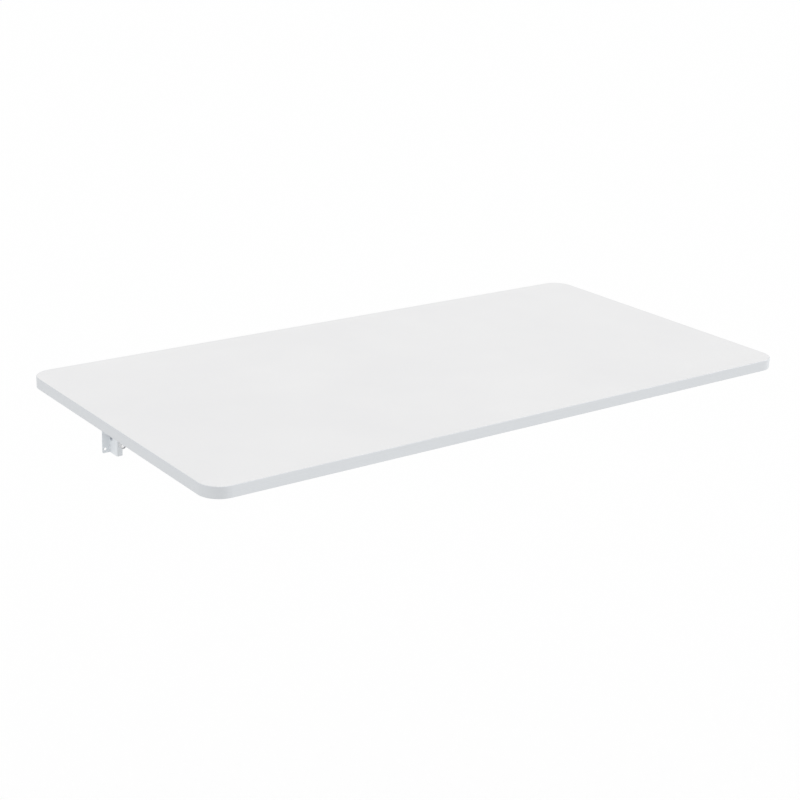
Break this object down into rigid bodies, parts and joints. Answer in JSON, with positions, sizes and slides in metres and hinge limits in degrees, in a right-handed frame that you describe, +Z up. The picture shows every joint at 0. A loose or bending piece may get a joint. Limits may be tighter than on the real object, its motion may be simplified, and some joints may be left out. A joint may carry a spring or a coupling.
{
  "type": "wall mounted drop leaf table",
  "caption": "Wall mounted table with a white round-cornered leaf that folds down flat: hat-section wall rails, slotted arms, swinging struts and spring latch strips.",
  "frame": {"origin": "on the wall plane, at the centre of the rectangle of wall screw holes", "axes": "+X to the right seen from the room, along the wall; +Y into the wall; +Z up"},
  "size_m": [1, 0.503, 0.145],
  "materials": {
    "melamine_board": "white melamine facing",
    "edge_band": "white edge band",
    "powder_coated_steel": "white powder coat",
    "zinc_steel": "zinc plated",
    "bright_aluminium": "bright aluminium rivet",
    "spring_steel": "bright spring steel",
    "white_nylon": "moulded nylon"
  },
  "bodies": {
    "wall_rails": {"left_wall_rail": "powder_coated_steel", "left_arm_pivot_pin": "zinc_steel", "left_arm_spacers": "white_nylon", "left_strut_pivot_pin": "zinc_steel", "left_strut_spacers": "white_nylon", "left_fold_buffer": "white_nylon", "left_buffer_rivet": "bright_aluminium", "left_buffer_eyelet": "zinc_steel", "right_wall_rail": "powder_coated_steel", "right_arm_pivot_pin": "zinc_steel", "right_arm_spacers": "white_nylon", "right_strut_pivot_pin": "zinc_steel", "right_strut_spacers": "white_nylon", "right_fold_buffer": "white_nylon", "right_buffer_rivet": "bright_aluminium", "right_buffer_eyelet": "zinc_steel"},
    "leaf": {"table_panel": "melamine_board", "edge_band": "edge_band", "left_arm": "powder_coated_steel", "right_arm": "powder_coated_steel", "arm_screws": "zinc_steel", "latch_rivets": "zinc_steel"},
    "left_strut_set": {"left_strut": "powder_coated_steel", "left_slide_pin": "zinc_steel", "left_pin_collar": "zinc_steel", "left_slide_bushes": "white_nylon"},
    "right_strut_set": {"right_strut": "powder_coated_steel", "right_slide_pin": "zinc_steel", "right_pin_collar": "zinc_steel", "right_slide_bushes": "white_nylon"},
    "left_latch": {"left_latch_strip": "spring_steel"},
    "right_latch": {"right_latch_strip": "spring_steel"}
  },
  "joints": [
    {"name": "leaf_fold", "type": "hinge", "parent": "wall_rails", "child": "leaf", "pos_m": [0, -0.016, 0.0595], "axis": [1, 0, 0], "range_deg": [0, 90], "deforming": ["left_latch_strip", "right_latch_strip"]},
    {"name": "left_strut_swing", "type": "hinge", "parent": "wall_rails", "child": "left_strut_set", "pos_m": [-0.372, -0.016, -0.004], "axis": [1, 0, 0], "range_deg": [0, 104.8]},
    {"name": "right_strut_swing", "type": "hinge", "parent": "wall_rails", "child": "right_strut_set", "pos_m": [0.372, -0.016, -0.004], "axis": [1, 0, 0], "range_deg": [0, 104.8]},
    {"name": "left_latch_pull", "type": "hinge", "parent": "leaf", "child": "left_latch", "pos_m": [-0.359, -0.18, 0.0675], "axis": [0, 0, 1], "range_deg": [0, 5], "stiffness_Nm_per_rad": 12},
    {"name": "right_latch_pull", "type": "hinge", "parent": "leaf", "child": "right_latch", "pos_m": [0.359, -0.18, 0.0675], "axis": [0, 0, -1], "range_deg": [0, 5], "stiffness_Nm_per_rad": 12}
  ],
  "couplings": [
    {"joint": "left_strut_swing", "follows": "leaf_fold", "ratio": 1.1643},
    {"joint": "right_strut_swing", "follows": "leaf_fold", "ratio": 1.1643}
  ]
}
